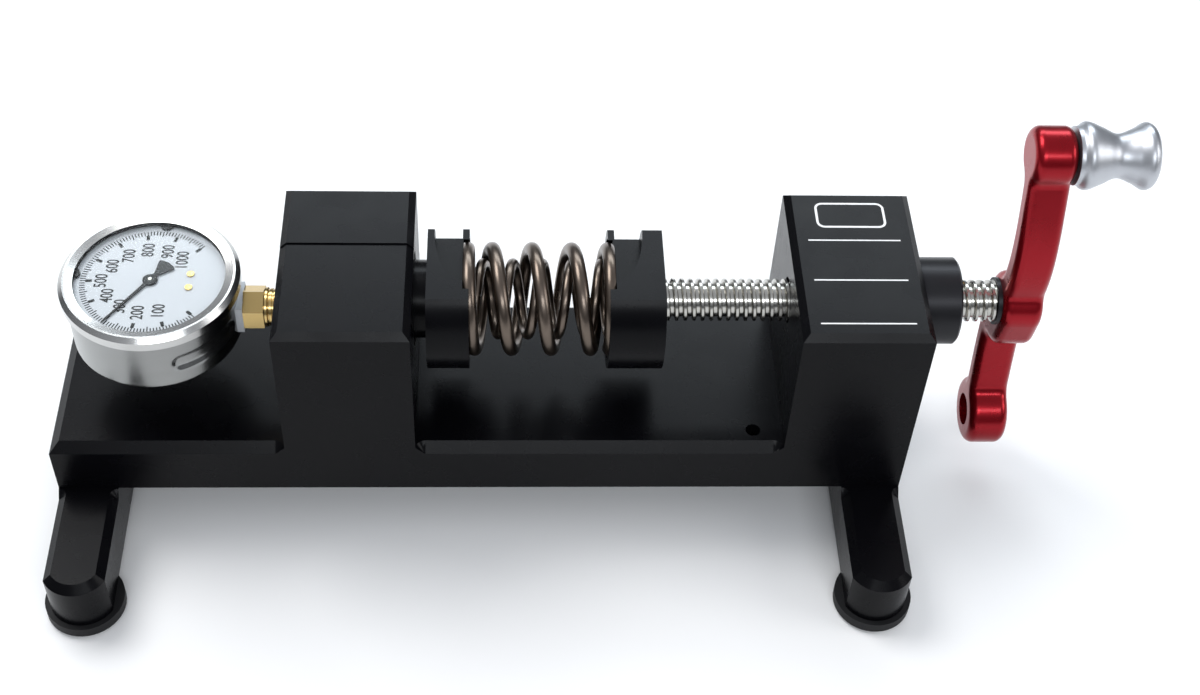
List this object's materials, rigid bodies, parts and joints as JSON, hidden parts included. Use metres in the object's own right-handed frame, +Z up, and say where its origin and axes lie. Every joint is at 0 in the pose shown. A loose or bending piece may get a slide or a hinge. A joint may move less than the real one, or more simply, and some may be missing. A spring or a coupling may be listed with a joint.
{
  "type": "bench spring tester",
  "caption": "Bench-top coil spring tester: a hand crank and lead screw squeeze a spring between two cups, and a hydraulic piston drives a dial load gauge.",
  "frame": {"origin": "on the bench surface, under the middle of the whole tester", "axes": "+X from the gauge to the crank along the screw axis, +Y to the rear, +Z up"},
  "size_m": [0.3964, 0.171, 0.1696],
  "materials": {
    "black_anodised": "satin black anodised",
    "red_anodised": "gloss red anodised",
    "silver_anodised": "satin silver anodised",
    "screw_steel": "bright turned steel",
    "black_oxide_steel": "black oxide",
    "spring_steel": "heat-tinted bronze brown spring steel",
    "bronze": "machined bronze",
    "brass": "machined brass",
    "stainless": "satin stainless steel",
    "polished_stainless": "polished stainless steel",
    "grey_stem": "zinc grey",
    "clear_lens": "clear",
    "white_dial": "matt white",
    "black_pointer": "matt black",
    "rubber": "matt black rubber"
  },
  "bodies": {
    "frame": {"base_plate": "black_anodised", "bourdon_tube": "bronze", "brass_fitting": "brass", "dial_screws": "brass", "fill_plug": "black_oxide_steel", "flange_nut": "black_oxide_steel", "foot_screws": "black_oxide_steel", "gauge_bezel": "polished_stainless", "gauge_case": "stainless", "gauge_dial": "white_dial", "gauge_lens": "clear_lens", "gauge_movement": "brass", "gauge_stem": "grey_stem", "inner_spring": "spring_steel", "left_leg_bar": "black_anodised", "left_tower": "black_anodised", "leg_screws": "black_oxide_steel", "lens_gasket": "rubber", "nut_lock_screw": "black_oxide_steel", "outer_spring": "spring_steel", "piston_wiper": "rubber", "right_leg_bar": "black_anodised", "right_tower": "black_anodised", "rubber_feet": "rubber", "thread_insert": "bronze", "tower_screws": "black_oxide_steel"},
    "piston": {"load_piston": "black_anodised", "piston_seal": "rubber", "left_cup": "black_anodised", "cup_screw": "black_oxide_steel"},
    "carriage": {"right_cup": "black_anodised", "cup_lock_screw": "black_oxide_steel", "fixed_bearing_washer": "screw_steel", "bearing_balls": "screw_steel"},
    "screw": {"lead_screw": "screw_steel", "turning_bearing_washer": "screw_steel", "crank_arm": "red_anodised", "crank_washer": "black_oxide_steel", "crank_screw": "black_oxide_steel", "knob_bolt": "black_oxide_steel"},
    "knob": {"knob": "silver_anodised"},
    "pointer": {"pointer": "black_pointer"}
  },
  "joints": [
    {"name": "cup_slide", "type": "slide", "parent": "frame", "child": "carriage", "axis": [1, 0, 0], "range_m": [-0.01351, 0.00795], "deforming": ["outer_spring", "inner_spring"]},
    {"name": "screw_turn", "type": "hinge", "parent": "carriage", "child": "screw", "pos_m": [0.15475, 0, 0.0933], "axis": [1, 0, 0], "range_deg": [-1530, 900]},
    {"name": "knob_spin", "type": "hinge", "parent": "screw", "child": "knob", "pos_m": [0.17025, 0.00961, 0.15759], "axis": [1, 0, 0], "continuous": true},
    {"name": "piston_slide", "type": "slide", "parent": "frame", "child": "piston", "axis": [1, 0, 0], "range_m": [-0.0001351, 0.0000795]},
    {"name": "pointer_turn", "type": "hinge", "parent": "frame", "child": "pointer", "pos_m": [-0.1551, 0, 0.10255], "axis": [0, 0, 1], "range_deg": [-122.54, 72.08]}
  ],
  "couplings": [
    {"joint": "cup_slide", "follows": "screw_turn", "m_per_rad": 0.00050532},
    {"joint": "piston_slide", "follows": "screw_turn", "m_per_rad": 0.000005053},
    {"joint": "pointer_turn", "follows": "screw_turn", "ratio": 0.08001}
  ]
}
